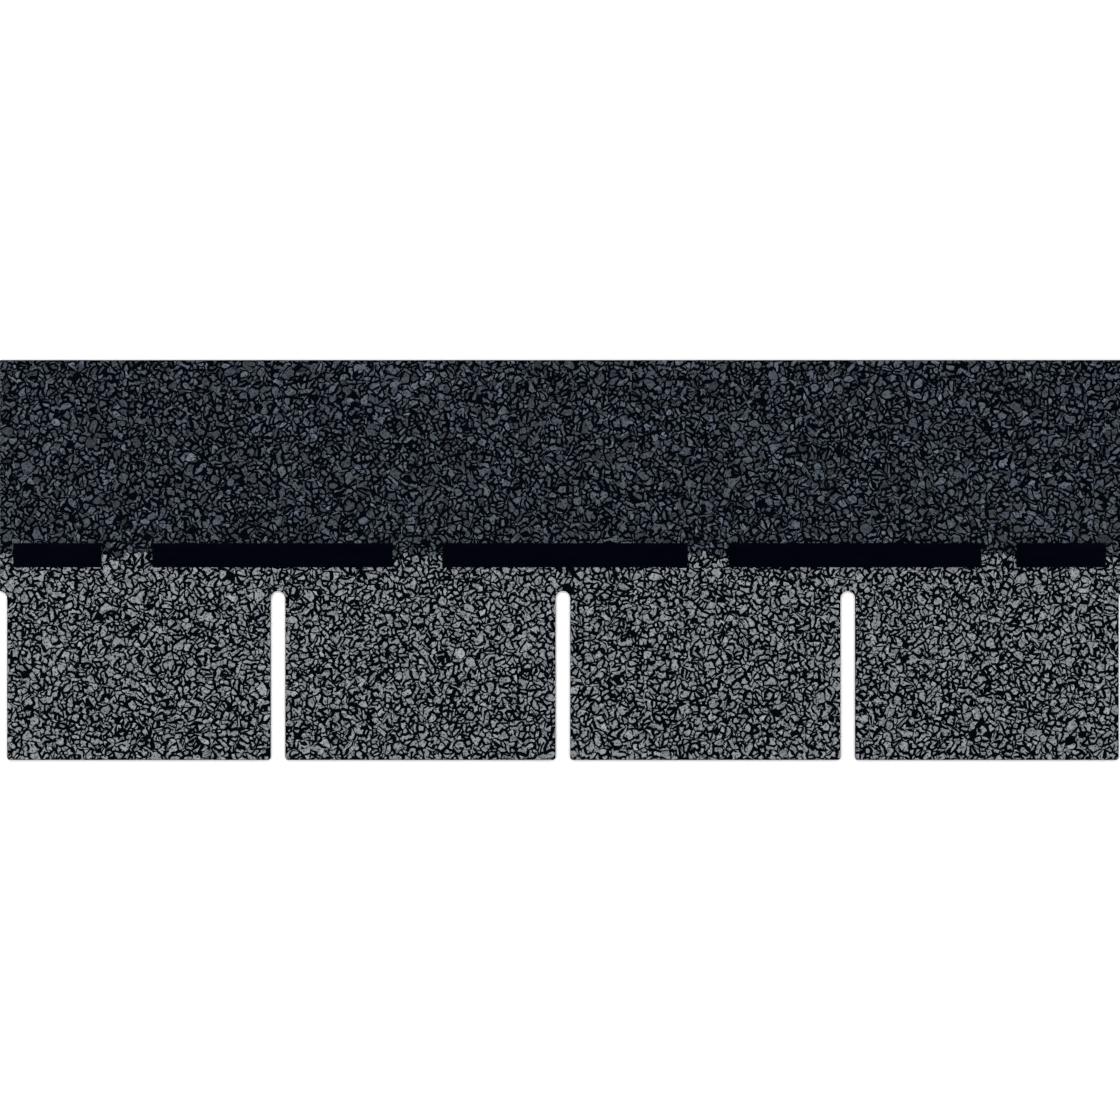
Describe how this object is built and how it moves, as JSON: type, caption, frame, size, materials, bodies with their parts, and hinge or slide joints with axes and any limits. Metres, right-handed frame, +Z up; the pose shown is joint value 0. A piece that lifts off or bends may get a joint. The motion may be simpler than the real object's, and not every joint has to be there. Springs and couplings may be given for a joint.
{
  "type": "asphalt strip shingle",
  "caption": "Flat bitumen roofing strip with square tabs, round-topped slots, two-tone mineral granules and a broken line of self-seal strips.",
  "frame": {"origin": "under the middle of the strip, on the surface that it lies on", "axes": "+X along the strip's length, +Y up the strip from the tab edge to the head edge, +Z up, out of the granule face"},
  "size_m": [1, 0.355, 0.0038],
  "materials": {
    "granule_sheet": "matte",
    "seal_bitumen": "satin",
    "head_granules": "matte",
    "tab_granules": "matte"
  },
  "bodies": {
    "root": {"shingle_sheet": "granule_sheet", "seal_strip_left_end": "seal_bitumen", "seal_strip_left": "seal_bitumen", "seal_strip_middle": "seal_bitumen", "seal_strip_right": "seal_bitumen", "seal_strip_right_end": "seal_bitumen"}
  },
  "joints": []
}
